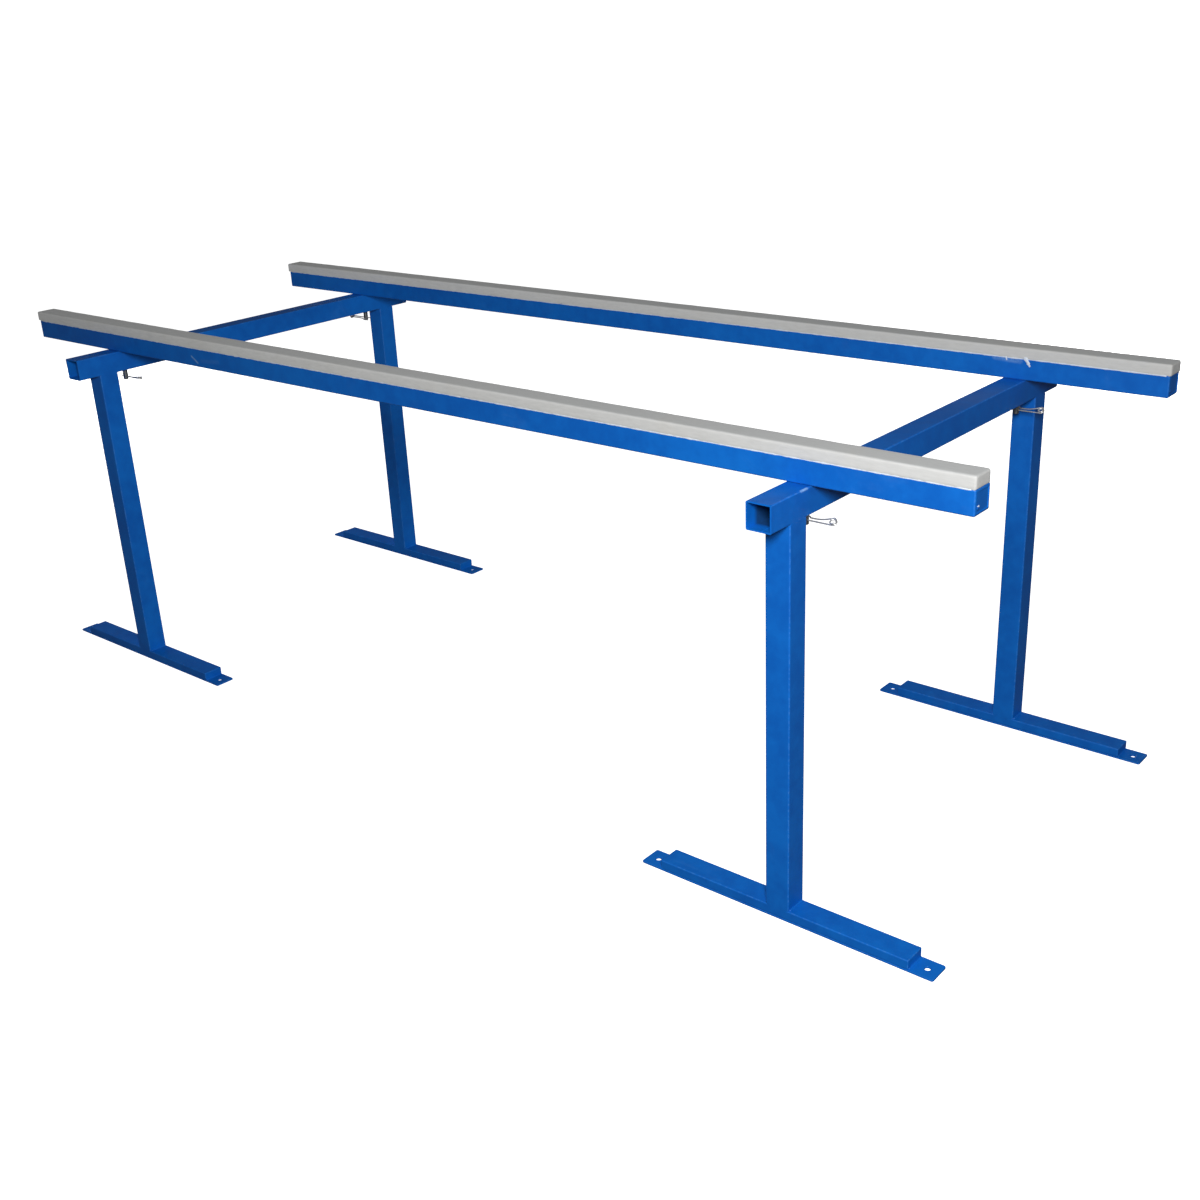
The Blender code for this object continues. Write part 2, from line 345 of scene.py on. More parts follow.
class Wire:
    """An output socket that reads like a number: + - * / add their Math nodes."""

    def __init__(self, finish, socket):
        self.finish, self.socket = finish, socket

    def maths(self, operation, *values, clamp=False):
        return self.finish.node("ShaderNodeMath", {"operation": operation, "use_clamp": clamp}, values)

    def __add__(self, other):
        return self.maths("ADD", self, other)

    def __sub__(self, other):
        return self.maths("SUBTRACT", self, other)

    def __rsub__(self, other):
        return self.maths("SUBTRACT", other, self)

    def __mul__(self, other):
        return self.maths("MULTIPLY", self, other)

    def __truediv__(self, other):
        return self.maths("DIVIDE", self, other)

    __radd__, __rmul__ = __add__, __mul__

    def between(self, low, high):
        """0 below low, 1 above high, and smooth between them."""
        return self.finish.node("ShaderNodeMapRange", {"interpolation_type": "SMOOTHSTEP"},
                                {"Value": self, "From Min": low, "From Max": high})


class Finish:
    """One material's node tree as it is built."""

    def __init__(self, name):
        self.material = bpy.data.materials.new(name)
        self.material.use_nodes = True
        self.tree = self.material.node_tree
        self.tree.nodes.clear()
        self.place = self.node("ShaderNodeTexCoord", out="Object")

    def node(self, kind, settings=(), sockets=(), out=0):
        made = self.tree.nodes.new(kind)
        for key, value in dict(settings).items():
            setattr(made, key, value)
        pairs = sockets.items() if isinstance(sockets, dict) else enumerate(sockets)
        for key, value in pairs:
            if isinstance(value, Wire):
                self.tree.links.new(value.socket, made.inputs[key])
            else:
                made.inputs[key].default_value = value
        return Wire(self, made.outputs[out])

    def noise(self, scale, detail=2.0, roughness=0.5, stretch=None, distortion=0.0):
        where = self.place
        if stretch:
            where = self.node("ShaderNodeMapping", {"vector_type": "POINT"},
                              {"Vector": where, "Scale": stretch})
        return self.node("ShaderNodeTexNoise", {"noise_dimensions": "3D"},
                         {"Vector": where, "Scale": scale, "Detail": detail, "Roughness": roughness,
                          "Distortion": distortion})

    def blend(self, amount, first, second):
        """One colour turning into another."""
        def colour(value):
            return value if isinstance(value, Wire) else (*value, 1.0)
        return self.node("ShaderNodeMix", {"data_type": "RGBA"},
                         {0: amount, 6: colour(first), 7: colour(second)}, out=2)

    def stroke(self, start, stop, width):
        """1 along a short straight stroke on a piece, fading out to its sides."""
        run = stop - start
        reach = self.vector("SUBTRACT", {0: self.place, 1: start})
        along = self.vector("DOT_PRODUCT", {0: reach, 1: run}, out="Value")
        share = along.maths("DIVIDE", along, run.length_squared, clamp=True)
        nearest = self.vector("SCALE", {0: run, "Scale": share})
        gap = self.vector("DISTANCE", {0: reach, 1: nearest}, out="Value")
        return 1 - gap.between(width * 0.25, width)

    def vector(self, operation, sockets, out=0):
        return self.node("ShaderNodeVectorMath", {"operation": operation}, sockets, out=out)

    def bump(self, height, strength, distance):
        return self.node("ShaderNodeBump", {}, {"Height": height, "Strength": strength, "Distance": distance})

    def close(self, **sockets):
        """Adds the surface shader, given its sockets by name with _ for spaces, and the output."""
        shader = self.node("ShaderNodeBsdfPrincipled", {},
                           {key.replace("_", " "): value for key, value in sockets.items()})
        output = self.tree.nodes.new("ShaderNodeOutputMaterial")
        self.tree.links.new(shader.socket, output.inputs["Surface"])
        return self.material


made_materials = {}


def material(name):
    """The material of that name, made once."""
    if name not in made_materials:
        made_materials[name] = RECIPES[name](bpy.context.scene.trestle_colours)
    return made_materials[name]


def blue_paint(colours):
    """A thick blue coat with orange peel, cloudy tone, dust, fine rubs and pale worn corners."""
    f = Finish("blue powder coat")
    clouds = f.noise(2.1, 3.0, 0.55)
    mottle = f.noise(34.0, 4.0, 0.6)
    grain = f.noise(260.0, 2.0, 0.5)
    peel = f.noise(720.0, 1.0, 0.4)
    dust = f.noise(11.0, 5.0, 0.7, distortion=0.6).between(0.56, 0.80)
    rubs = f.noise(60.0, 3.0, 0.7, stretch=(0.12, 1.0, 1.0)).between(0.66, 0.76)
    chips = f.noise(150.0, 3.0, 0.65)
    edge = f.node("ShaderNodeAttribute", {"attribute_name": "edge"}, out="Fac")
    worn = edge * (chips.between(0.45, 0.65) * 0.42 + 0.04)
    tone = f.blend((clouds * 0.7 + mottle * 0.5).between(0.42, 0.78), colours.paint_deep, colours.paint)
    dusty = f.blend(dust * 0.10 + rubs * 0.06, tone, colours.paint_worn)
    colour = f.blend(worn, dusty, colours.paint_worn)
    # pale marks drawn along short strokes in the paint
    for start, stop, width, strength in PALE_MARKS:
        broken = (chips.between(0.35, 0.6) * 0.5 + 0.5) * strength
        colour = f.blend(f.stroke(start, stop, width) * broken, colour, PALE_MARK_COLOUR)
    # painted shade: deep inside the open beam ends the paint is drawn dark
    inside = f.node("ShaderNodeAttribute", {"attribute_name": "inside"}, out="Fac")
    colour = f.blend(inside * 0.92, colour, INSIDE_SHADE)
    rough = 0.36 + mottle * 0.10 + grain * 0.05 + dust * 0.12 + rubs * 0.10
    height = peel * 0.35 + grain * 0.35 + mottle * 0.9
    return f.close(Base_Color=colour, Roughness=rough, Normal=f.bump(height, 0.22, 0.0007),
                   Coat_Weight=0.06, Coat_Roughness=0.15, IOR=1.42)


def soft_strip(colours):
    """Pale grey soft strip: fibrous and matt, with painted shade darkening its top, and greyed by use towards
    one end.
    """
    f = Finish("pale grey soft strip")
    up = f.node("ShaderNodeSeparateXYZ", {}, (f.node("ShaderNodeNewGeometry", out="Normal"),), out="Z")
    fibres = f.noise(240.0, 4.0, 0.7, stretch=(0.22, 1.0, 1.0))
    pores = f.noise(900.0, 2.0, 0.6)
    blotch = f.noise(7.0, 4.0, 0.6, distortion=0.8)
    stain = f.noise(19.0, 5.0, 0.75, stretch=(0.35, 1.0, 1.0)).between(0.55, 0.82)
    # painted shade: faces that look up are drawn darker than the strip's sides
    top = up.between(0.35, 0.92)
    clean = 1 - f.node("ShaderNodeSeparateXYZ", {}, (f.place,), out="X").between(*STRIP_CLEAN)
    # the strip's colour, with painted shade on its top
    worn = f.blend(top, colours.strip, colours.strip_top)
    base = f.blend(clean * (0.75 - top * 0.35), worn, CLEAN_STRIP)
    darker = f.blend(fibres.between(0.25, 0.75) * 0.18 + stain * 0.20, base, (0.36, 0.36, 0.34))
    warm = f.blend(blotch.between(0.45, 0.75) * 0.22, darker, (0.64, 0.61, 0.55))
    height = fibres * 0.6 + pores * 0.5 + blotch * 0.8
    return f.close(Base_Color=warm, Roughness=0.86 + pores * 0.1, Normal=f.bump(height, 0.55, 0.0010),
                   Sheen_Weight=0.15, Sheen_Roughness=0.5)


def pale_glue(colours):
    """Set white glue, a little glossy."""
    f = Finish("set white glue")
    lumps = f.noise(180.0, 3.0, 0.6)
    colour = f.blend(lumps.between(0.4, 0.7) * 0.5, colours.glue, (0.86, 0.89, 0.92))
    return f.close(Base_Color=colour, Roughness=0.38 + lumps * 0.2, Normal=f.bump(lumps, 0.4, 0.0008))


def zinc_plate(colours):
    """Zinc plate on a turned stud, its colour darkened as painted shade: fine turning marks round it and a
    dull bloom.
    """
    f = Finish("zinc plated steel")
    rings = f.noise(900.0, 2.0, 0.5, stretch=(0.1, 0.1, 1.0))
    bloom = f.noise(120.0, 4.0, 0.6)
    colour = f.blend(bloom.between(0.4, 0.7) * 0.5, colours.zinc, (0.34, 0.35, 0.36))
    return f.close(Base_Color=colour, Roughness=0.26 + bloom * 0.22 + rings * 0.08, Metallic=1.0,
                   Normal=f.bump(rings, 0.3, 0.0002))


def bright_wire(colours):
    """Drawn spring wire, bright with faint dull patches."""
    f = Finish("bright spring wire")
    patches = f.noise(160.0, 3.0, 0.6)
    drawn = f.noise(1500.0, 1.0, 0.5)
    colour = f.blend(patches.between(0.45, 0.75) * 0.6, colours.wire, (0.40, 0.40, 0.39))
    return f.close(Base_Color=colour, Roughness=0.28 + patches * 0.2, Metallic=0.75,
                   Normal=f.bump(drawn, 0.2, 0.0001))


def studio_floor(colours):
    """A pale floor that glows a little, so that it stays even towards the back."""
    f = Finish("studio floor")
    speckle = f.noise(3.0, 3.0, 0.5)
    colour = f.blend(speckle * 0.06, colours.floor, (0.82, 0.82, 0.82))
    return f.close(Base_Color=colour, Roughness=0.92, Emission_Color=(1.0, 1.0, 1.0, 1.0),
                   Emission_Strength=FLOOR_GLOW)


RECIPES = {"blue_paint": blue_paint, "grey_strip": soft_strip, "glue": pale_glue, "zinc_steel": zinc_plate,
           "bright_wire": bright_wire, "floor": studio_floor}


# ---------------------------------------------------------------- pieces

def open_tube(name, low, high, axis, wall, corner, steps):
    """A square tube, open at both ends."""
    piece = block(name, low, high)
    begin(piece, "FACE")
    pick(piece, "faces", faces_along(axis))
    bpy.ops.mesh.delete(type="ONLY_FACE")
    bpy.ops.mesh.select_mode(type="EDGE")
    pick(piece, "edges", runs_along(axis))
    bevel(corner, steps)
    end()
    finish_with(piece, "SOLIDIFY", thickness=wall, offset=-1.0, use_even_offset=True)
    return piece


class TRESTLE_OT_crossbeams(bpy.types.Operator):
    """Square tube cross-beams with drilled stud holes, soft sawn ends and the inner weld seam"""

    bl_idname = "trestle.crossbeams"
    bl_label = "Cross-Beams"

    def execute(self, context):
        sizes = context.scene.trestle_sizes
        low, high = BEAM_LOW, BEAM_HIGH
        beam = open_tube("beam", low, high, Y, sizes.tube_wall, sizes.tube_corner, sizes.corner_steps)
        for side in SIDES:
            stud_low, stud_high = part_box(f"stud_{side}_left")
            centre = (stud_low + stud_high) / 2
            drill(beam, sizes.stud_hole / 2, Vector((centre.x, centre.y, low.z - DRILL_PAST)),
                  Vector((centre.x, centre.y, high.z + DRILL_PAST)))
        # cuts across the beam where the painted shade inside each open end fades in
        begin(beam, "FACE")
        for depth in (SHADE_DEPTH, SHADE_DEPTH * 1.5):
            for y in (low.y + depth, high.y - depth):
                select_all()
                bpy.ops.mesh.bisect(plane_co=(0, y, 0), plane_no=Y)
        end()
        soften(beam, sizes.cut_edge)
        mark_edges(beam, low, high, sizes.tube_corner)
        mark_inside_shade(beam, low, high, sizes.tube_wall)
        seam = self.inner_seam(low, high, sizes)
        beam = join("crossbeam_left_painted", [beam, seam])
        other = copy_of(beam, "crossbeam_right_painted", shift_between("crossbeam_left", "crossbeam_right"))
        for end_name, piece in zip(ENDS, (beam, other)):
            dress(piece, "frame", "blue_paint", f"crossbeam_{end_name}")
        return {"FINISHED"}

    def inner_seam(self, low, high, sizes):
        """The low ridge that the tube maker's weld leaves along the inside."""
        floor = low.z + sizes.tube_wall
        middle = (low.x + high.x) / 2 + SEAM_OFFSET
        seam = block("seam", Vector((middle - SEAM_WIDTH / 2, low.y + SEAM_INSET, floor - SEAM_HEIGHT)),
                     Vector((middle + SEAM_WIDTH / 2, high.y - SEAM_INSET, floor + SEAM_HEIGHT)))
        begin(seam, "EDGE")
        pick(seam, "edges", runs_along(Y))
        bevel(SEAM_HEIGHT * 0.9, 3)
        cut(seam, runs_along(Y), 60)
        shake(SEAM_UNEVEN, 3)
        end()
        shade(seam, WELD_SMOOTH)
        return seam


class TRESTLE_OT_legs(bpy.types.Operator):
    """Square tube legs, with the flush welds at their tops and feet ground smooth"""

    bl_idname = "trestle.legs"
    bl_label = "Legs"

    def execute(self, context):
        sizes = context.scene.trestle_sizes
        foot_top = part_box("foot_tube_near_left")[1].z
        low, high = LEG_LOW.copy(), LEG_HIGH.copy()
        low.z, high.z = foot_top, BEAM_LOW.z
        leg = open_tube("leg", low, high, Z, sizes.tube_wall, sizes.tube_corner, sizes.corner_steps)
        shade(leg)
        mark_edges(leg, low - Z, high + Z, sizes.tube_corner)
        leg = join("leg_near_left_painted", [leg, *self.ground_welds(low, high, sizes)])
        for place, piece in at_each_place(leg, "leg", "leg_{}_painted"):
            dress(piece, "frame", "blue_paint", f"leg_{place}")
        return {"FINISHED"}

    def ground_welds(self, low, high, sizes):
        """Flat ground welds that fill the grooves beside the round corners of the beam and of the foot."""
        welds = []
        inset, deep = sizes.tube_corner * 0.55, sizes.tube_corner * 1.1
        for number, x in enumerate((low.x, high.x - deep)):
            start = Vector((x, low.y + inset, high.z - PAD_REACH))
            stop = Vector((x + deep, high.y - inset, high.z + sizes.tube_corner))
            welds.append(self.weld_pad(f"top_weld_{number}", start, stop, X, number))
        deep = sizes.foot_corner * 1.6
        for number, y in enumerate((low.y, high.y - deep)):
            start = Vector((low.x + inset, y, low.z - sizes.foot_corner))
            stop = Vector((high.x - inset, y + deep, low.z + PAD_REACH))
            welds.append(self.weld_pad(f"foot_weld_{number}", start, stop, Y, number + 2))
        return welds

    def weld_pad(self, name, low, high, out, seed):
        """One ground weld: a thin pad with an uneven edge that fades into the faces beside it."""
        pad = block(name, low, high)
        begin(pad, "EDGE")
        cut(pad, lambda edge: not runs_along(out)(edge), 7)
        shake(PAD_UNEVEN, seed + 11)
        end()
        finish_with(pad, "SUBSURF", levels=1, render_levels=1)
        shade(pad, WELD_SMOOTH)
        return pad


class TRESTLE_OT_feet(bpy.types.Operator):
    """Flat foot plates with drilled lugs, and the closed tubes welded on them"""

    bl_idname = "trestle.feet"
    bl_label = "Feet"

    def execute(self, context):
        sizes = context.scene.trestle_sizes
        plates = at_each_place(self.plate(sizes), "foot_plate", "foot_plate_{}_painted")
        tubes = at_each_place(self.closed_tube(sizes), "foot_tube", "foot_tube_{}_painted")
        for (place, plate), (_, tube) in zip(plates, tubes):
            dress(plate, "frame", "blue_paint", f"foot_plate_{place}")
            dress(tube, "frame", "blue_paint", f"foot_tube_{place}", f"foot_end_{place}_outer",
                  f"foot_end_{place}_inner")
        return {"FINISHED"}

    def plate(self, sizes):
        low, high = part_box("foot_plate_near_left")
        plate = block("foot_plate_near_left_painted", low, high)
        begin(plate, "EDGE")
        pick(plate, "edges", runs_along(Z))
        bevel(PLATE_CORNER, sizes.corner_steps)
        end()
        middle = (low + high) / 2
        for x in (low.x + sizes.lug_inset, high.x - sizes.lug_inset):
            drill(plate, sizes.lug_hole / 2, Vector((x, middle.y, low.z - DRILL_PAST)),
                  Vector((x, middle.y, high.z + DRILL_PAST)))
        soften(plate, sizes.cut_edge * 1.4)
        mark_edges(plate, low, high, sizes.cut_edge * 1.4)
        return plate

    def closed_tube(self, sizes):
        low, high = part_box("foot_end_near_left_outer")[0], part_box("foot_end_near_left_inner")[1]
        low = Vector((low.x, low.y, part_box("foot_plate_near_left")[1].z))
        tube = block("foot_tube_near_left_painted", low, high)
        begin(tube, "EDGE")
        pick(tube, "edges", lambda edge: True)
        bevel(sizes.foot_corner, sizes.corner_steps)
        end()
        shade(tube)
        mark_edges(tube, low, high, sizes.foot_corner)
        return tube


class TRESTLE_OT_weld_beads(bpy.types.Operator):
    """Rippled weld beads at the leg tops, the leg feet and the ends of the foot tubes"""

    bl_idname = "trestle.weld_beads"
    bl_label = "Weld Beads"

    def execute(self, context):
        sizes = context.scene.trestle_sizes
        foot_low, foot_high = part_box("foot_end_near_left_outer")[0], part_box("foot_end_near_left_inner")[1]
        plate_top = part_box("foot_plate_near_left")[1].z
        edge = sizes.tube_corner
        beads = []

        def lay(centre, axis, start, stop, radius):
            beads.append(self.bead(centre + axis * start, centre + axis * stop, radius, len(beads)))

        for y, out in ((LEG_LOW.y, -1), (LEG_HIGH.y, 1)):
            lay(Vector((0, y - out * BEAD_SINK, BEAM_LOW.z + BEAD_SINK)), X,
                LEG_LOW.x + edge, LEG_HIGH.x - edge, sizes.bead)
        for x, out in ((LEG_LOW.x, -1), (LEG_HIGH.x, 1)):
            lay(Vector((x - out * BEAD_SINK / 2, 0, foot_high.z - BEAD_SINK)), Y,
                LEG_LOW.y + LEG_BEAD_INSET, LEG_HIGH.y - LEG_BEAD_INSET, sizes.bead * 1.15)
        for x, out in ((foot_low.x, -1), (foot_high.x, 1)):
            lay(Vector((x - out * BEAD_SINK, 0, plate_top - BEAD_SINK / 2)), Y,
                foot_low.y + FOOT_BEAD_INSET, foot_high.y - FOOT_BEAD_INSET, sizes.bead * 0.8)
        welds = join("weld_beads_near_left", beads)
        for _, piece in at_each_place(welds, "leg", "weld_beads_{}"):
            dress(piece, "frame", "blue_paint")
        return {"FINISHED"}

    def bead(self, start, stop, radius, seed):
        """One bead: a ripple that is repeated along the joint, closed at both ends and made uneven."""
        run = stop - start
        pitch = radius * 0.8
        count = max(4, round(run.length / pitch))
        pitch = run.length / count
        ripple = rod("bead", radius * 0.88, Vector((0, 0, 0)), Vector((0, 0, pitch)), 12, fill="NOTHING")
        begin(ripple, "EDGE")
        cut(ripple, runs_along(Z), 1)
        bpy.ops.mesh.select_mode(type="VERT")
        pick(ripple, "verts", lambda vertex: abs(vertex.co.z - pitch / 2) < pitch / 8)
        bpy.ops.transform.resize(value=(1.16, 1.16, 1.0), center_override=(0, 0, pitch / 2))
        end()
        finish_with(ripple, "ARRAY", count=count, use_relative_offset=False, use_constant_offset=True,
                    constant_offset_displace=(0, 0, pitch), use_merge_vertices=True,
                    merge_threshold=pitch / 20)
        begin(ripple, "VERT")
        select_all()
        bpy.ops.mesh.fill_holes(sides=0)
        for z in (0.0, run.length):
            pick(ripple, "verts", lambda vertex: abs(vertex.co.z - z) < pitch / 8)
            bpy.ops.transform.resize(value=(0.55, 0.55, 1.0), center_override=(0, 0, z))
        shake(radius * 0.16, seed + 1)
        bpy.ops.mesh.normals_make_consistent(inside=False)
        end()
        finish_with(ripple, "SUBSURF", levels=1, render_levels=1)
        ripple.rotation_euler = run.to_track_quat("Z", "Y").to_euler()
        ripple.location = start
        shade_all(settle(ripple))
        return ripple


class TRESTLE_OT_rails(bpy.types.Operator):
    """Long rails with welded end plates, ground round and painted over"""

    bl_idname = "trestle.rails"
    bl_label = "Rails"

    def execute(self, context):
        sizes = context.scene.trestle_sizes
        for side in SIDES:
            low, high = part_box(f"rail_end_{side}_left")[0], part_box(f"rail_end_{side}_right")[1]
            rail = block("rail", low, high)
            begin(rail, "EDGE")
            pick(rail, "edges", lambda edge: True)
            bevel(sizes.rail_corner, sizes.corner_steps)
            bpy.ops.mesh.select_mode(type="FACE")
            pick(rail, "faces", faces_along(X))
            bpy.ops.mesh.inset(thickness=END_SEAM_INSET, depth=0.0)
            bpy.ops.mesh.inset(thickness=END_SEAM_DEPTH * 1.3, depth=-END_SEAM_DEPTH)
            end()
            shade(rail, 30)
            mark_edges(rail, low, high, sizes.rail_corner)
            lumps = [self.lump(Vector((x, low.y + LUMP_PLACE[0], low.z + LUMP_PLACE[1])), number)
                     for number, x in enumerate((low.x, high.x))]
            rail = join(f"rail_{side}_painted", [rail, *lumps])
            dress(rail, f"{side}_rail", "blue_paint", f"rail_{side}",
                  f"rail_end_{side}_left", f"rail_end_{side}_right")
        return {"FINISHED"}

    def lump(self, centre, seed):
        """The low stop of the grinder's weld on a rail's end, a flattened drop."""
        drop = squashed_drop(LUMP_RADIUS, (0.22, 1.0, 0.72), 20, 12)
        shake(LUMP_UNEVEN, seed + 5)
        end()
        shade_all(drop)
        drop.location = centre
        return named("lump")


class TRESTLE_OT_studs(bpy.types.Operator):
    """Plated studs under the rails, chamfered and drilled across for the clips"""

    bl_idname = "trestle.studs"
    bl_label = "Studs"

    def execute(self, context):
        sizes = context.scene.trestle_sizes
        middle = (STUD_LOW + STUD_HIGH) / 2
        radius = (STUD_HIGH.x - STUD_LOW.x) / 2
        stud = rod("stud", radius, Vector((middle.x, middle.y, STUD_LOW.z)),
                   Vector((middle.x, middle.y, RAIL_LOW.z + STUD_SINK)), 48)
        begin(stud, "FACE")
        pick(stud, "faces", lambda face: face.normal.z < -0.99)
        bevel(STUD_CHAMFER, 3)
        end()
        height = STUD_LOW.z + sizes.clip_height
        drill(stud, sizes.clip_hole / 2, Vector((STUD_LOW.x - DRILL_PAST, middle.y, height)),
              Vector((STUD_HIGH.x + DRILL_PAST, middle.y, height)), 32)
        soften(stud, 0.00025, smooth_under=35)
        stud.name = stud.data.name = "stud_near_left_plated"
        for place, piece in at_each_place(stud, "stud", "stud_{}_plated"):
            dress(piece, f"{place.split('_')[0]}_rail", "zinc_steel", f"stud_{place}")
        return {"FINISHED"}


class TRESTLE_OT_clips(bpy.types.Operator):
    """Spring clips: a straight arm through the stud, a coil, and the bent arm that grips the stud"""

    bl_idname = "trestle.clips"
    bl_label = "Spring Clips"

    def execute(self, context):
        sizes = context.scene.trestle_sizes
        route = clip_route()
        for (side, end_name), (way, roll) in CLIP_SETTINGS.items():
            node = f"clip_{side}_{end_name}"
            low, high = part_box(f"stud_{side}_{end_name}")
            centre = (low + high) / 2
            curve = bpy.data.curves.new(f"{node}_wire", "CURVE")
            curve.dimensions = "3D"
            curve.bevel_depth = sizes.wire / 2
            curve.bevel_resolution = 4
            curve.use_fill_caps = True
            spline = curve.splines.new("POLY")
            spline.points.add(len(route) - 1)
            turn = Matrix.Rotation(0 if way > 0 else math.pi, 3, "Z") @ Matrix.Rotation(roll, 3, "X")
            for point, place in zip(spline.points, route):
                point.co = (*(turn @ place), 1.0)
            piece = bpy.data.objects.new(f"{node}_wire", curve)
            bpy.context.scene.collection.objects.link(piece)
            piece.location = (centre.x, centre.y, low.z + sizes.clip_height)
            activate(piece)
            bpy.ops.object.convert(target="MESH")
            piece = named(f"{node}_wire")
            begin(piece, "VERT")
            select_all()
            bpy.ops.mesh.remove_doubles(threshold=0.00001)
            bpy.ops.mesh.normals_make_consistent(inside=False)
            end()
            soften(piece, 0.0004, smooth_under=60)
            dress(piece, node, "bright_wire", node)
        return {"FINISHED"}


def arc(centre, radius, start, stop, steps, rise=0.0):
    """Points on an arc in the clip's plane, rising evenly out of it."""
    return [Vector((centre[0] + radius * math.cos(start + (stop - start) * i / steps),
                    centre[1] + radius * math.sin(start + (stop - start) * i / steps), rise * i / steps))
            for i in range(steps + 1)]


def clip_route():
    """The clip wire's centre line, with the stud's axis at the origin and the straight arm along X."""
    tail = [Vector((-CLIP_TAIL, 0, 0)), Vector((0, 0, 0)), Vector((CLIP_REACH / 2, 0, 0))]
    rise = COIL_PITCH * COIL_TURNS
    start = math.radians(-90)
    coil = arc((CLIP_REACH, COIL_RADIUS), COIL_RADIUS, start, start + COIL_TURNS * math.tau, COIL_STEPS, rise)
    across = math.radians(90)
    grip = arc((0, 0), GRIP_RADIUS, across - GRIP_HALF_ANGLE, across + GRIP_HALF_ANGLE, GRIP_STEPS)
    leave, throat, last = coil[-1], grip[0], grip[-1]
    bent = []
    for i in range(1, BENT_ARM_STEPS):
        t = i / BENT_ARM_STEPS
        bow = -BENT_ARM_BOW * math.sin(math.pi * t)
        bent.append(Vector((leave.x + (throat.x - leave.x) * t, leave.y + (throat.y - leave.y) * t + bow,
                            rise * (1 - t) ** 2)))
    flare = []
    for i in range(1, FLARE_STEPS + 1):
        t = i / FLARE_STEPS
        flare.append(Vector((last.x + (-FLARE_REACH - last.x) * t,
                             last.y + (FLARE_WIDTH - last.y) * t ** FLARE_CURVE, 0)))
    return tail + coil + bent + grip + flare


def make_uneven(piece, name, size, strength, mid_level=0.62, **settings):
    """Pushes a piece's surface in and out by a procedural noise."""
    noise = bpy.data.textures.new(name, "CLOUDS")
    noise.noise_scale = size
    noise.noise_depth = 2
    finish_with(piece, "DISPLACE", texture=noise, texture_coords="LOCAL", strength=strength,
                mid_level=mid_level, **settings)


def group_of(piece, name, test):
    """A vertex group of the vertices that pass a test."""
    group = piece.vertex_groups.new(name=name)
    group.add([vertex.index for vertex in piece.data.vertices if test(vertex.co)], 1.0, "REPLACE")
    return name


class TRESTLE_OT_cap_strips(bpy.types.Operator):
    """Soft strips along the rails' tops, a little lumpy, with rounded ends and a ragged lower edge"""

    bl_idname = "trestle.cap_strips"
    bl_label = "Soft Strips"

    def execute(self, context):
        sizes = context.scene.trestle_sizes
        for side in SIDES:
            low, high = (corner.copy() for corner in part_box(f"cap_{side}"))
            low.z = RAIL_HIGH.z
            strip = block(f"cap_{side}_strip", low, high)
            begin(strip, "EDGE")
            pick(strip, "edges", lambda edge: max(vertex.co.z for vertex in edge.verts) > low.z + 0.001)
            bevel(sizes.strip_corner, 4)
            pick(strip, "edges", lambda edge: max(vertex.co.z for vertex in edge.verts) < low.z + 0.0005)
            bevel(LIP_CORNER, 2)
            for axis, longer, cuts in ((Y, 0.02, 6), (Z, 0.01, 4), (X, 1.0, 11), (X, 0.1, 31)):
                cut(strip, runs_along(axis, longer), cuts)
            end()
            lip = group_of(strip, "lower lip", lambda co: co.z < low.z + LIP_HEIGHT and
                           min(abs(co.y - low.y), abs(co.y - high.y)) < LIP_HEIGHT)
            make_uneven(strip, "lumps", 0.035, sizes.strip_lumps)
            make_uneven(strip, "slow waves", 0.30, STRIP_WAVES, 0.5, direction="Y")
            make_uneven(strip, "ragged lip", 0.010, STRIP_RAGS, direction="Z", vertex_group=lip)
            shade_all(strip)
            dress(strip, f"{side}_rail", "grey_strip", f"cap_{side}")
        return {"FINISHED"}


class TRESTLE_OT_glue(bpy.types.Operator):
    """Glue squeezed out under the strips, drips down the far rail, and a pale spot in the glue's colour on
    the near rail's end
    """

    bl_idname = "trestle.glue"
    bl_label = "Glue Lines"

    def execute(self, context):
        sizes = context.scene.trestle_sizes
        for side in SIDES:
            low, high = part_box(f"rail_{side}")
            lines = [self.line(low, high, y, out, sizes.glue_line, seed)
                     for seed, (y, out) in enumerate(((low.y, 1), (high.y, -1)))]
            if side == "far":
                lines += [self.drip(Vector((high.x - back, low.y, high.z)), width, length, lean)
                          for back, width, length, lean in GLUE_DRIPS]
            else:
                end_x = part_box("rail_end_near_right")[1].x
                lines.append(self.spot(Vector((end_x, low.y, low.z)) + Vector(PALE_SPOT)))
            glue = join(f"glue_{side}", lines)
            shade_all(glue)
            dress(glue, f"{side}_rail", "grey_strip", look="glue")
        return {"FINISHED"}

    def line(self, low, high, y, out, radius, seed):
        """One line of glue in the groove between a rail's round corner and its strip."""
        centre = Vector((0, y + out * radius * 0.72, high.z - radius * 0.45))
        line = rod("glue line", radius, centre + X * (low.x + 0.004), centre + X * (high.x - 0.004), 10)
        begin(line, "EDGE")
        for longer, cuts in ((1.0, 11), (0.1, 47)):
            cut(line, runs_along(X, longer), cuts)
        end()
        make_uneven(line, f"squeeze {seed}", 0.014 + 0.004 * seed, radius * 1.3)
        return line

    def drip(self, top, width, length, lean):
        """A drip: a small flattened drop drawn out downwards."""
        drop = squashed_drop(width, (1.0, 0.32, 1.0))
        pick(drop, "verts", lambda vertex: vertex.co.z < 0)
        bpy.ops.transform.resize(value=(0.8, 1.0, length / width), center_override=(0, 0, 0))
        for share in (0.15, 0.4, 0.7):
            pick(drop, "verts", lambda vertex: vertex.co.z < -length * share)
            bpy.ops.transform.translate(value=(lean / 3, 0, 0))
        end()
        drop.location = top - Z * 0.001
        return named("drip")

    def spot(self, place):
        """A flat pale spot, in the glue's colour, on a rail's end."""
        drop = squashed_drop(SPOT_RADIUS, (0.22, 1.0, 0.66))
        end()
        drop.location = place
        return named("spot")


# ---------------------------------------------------------------- stage

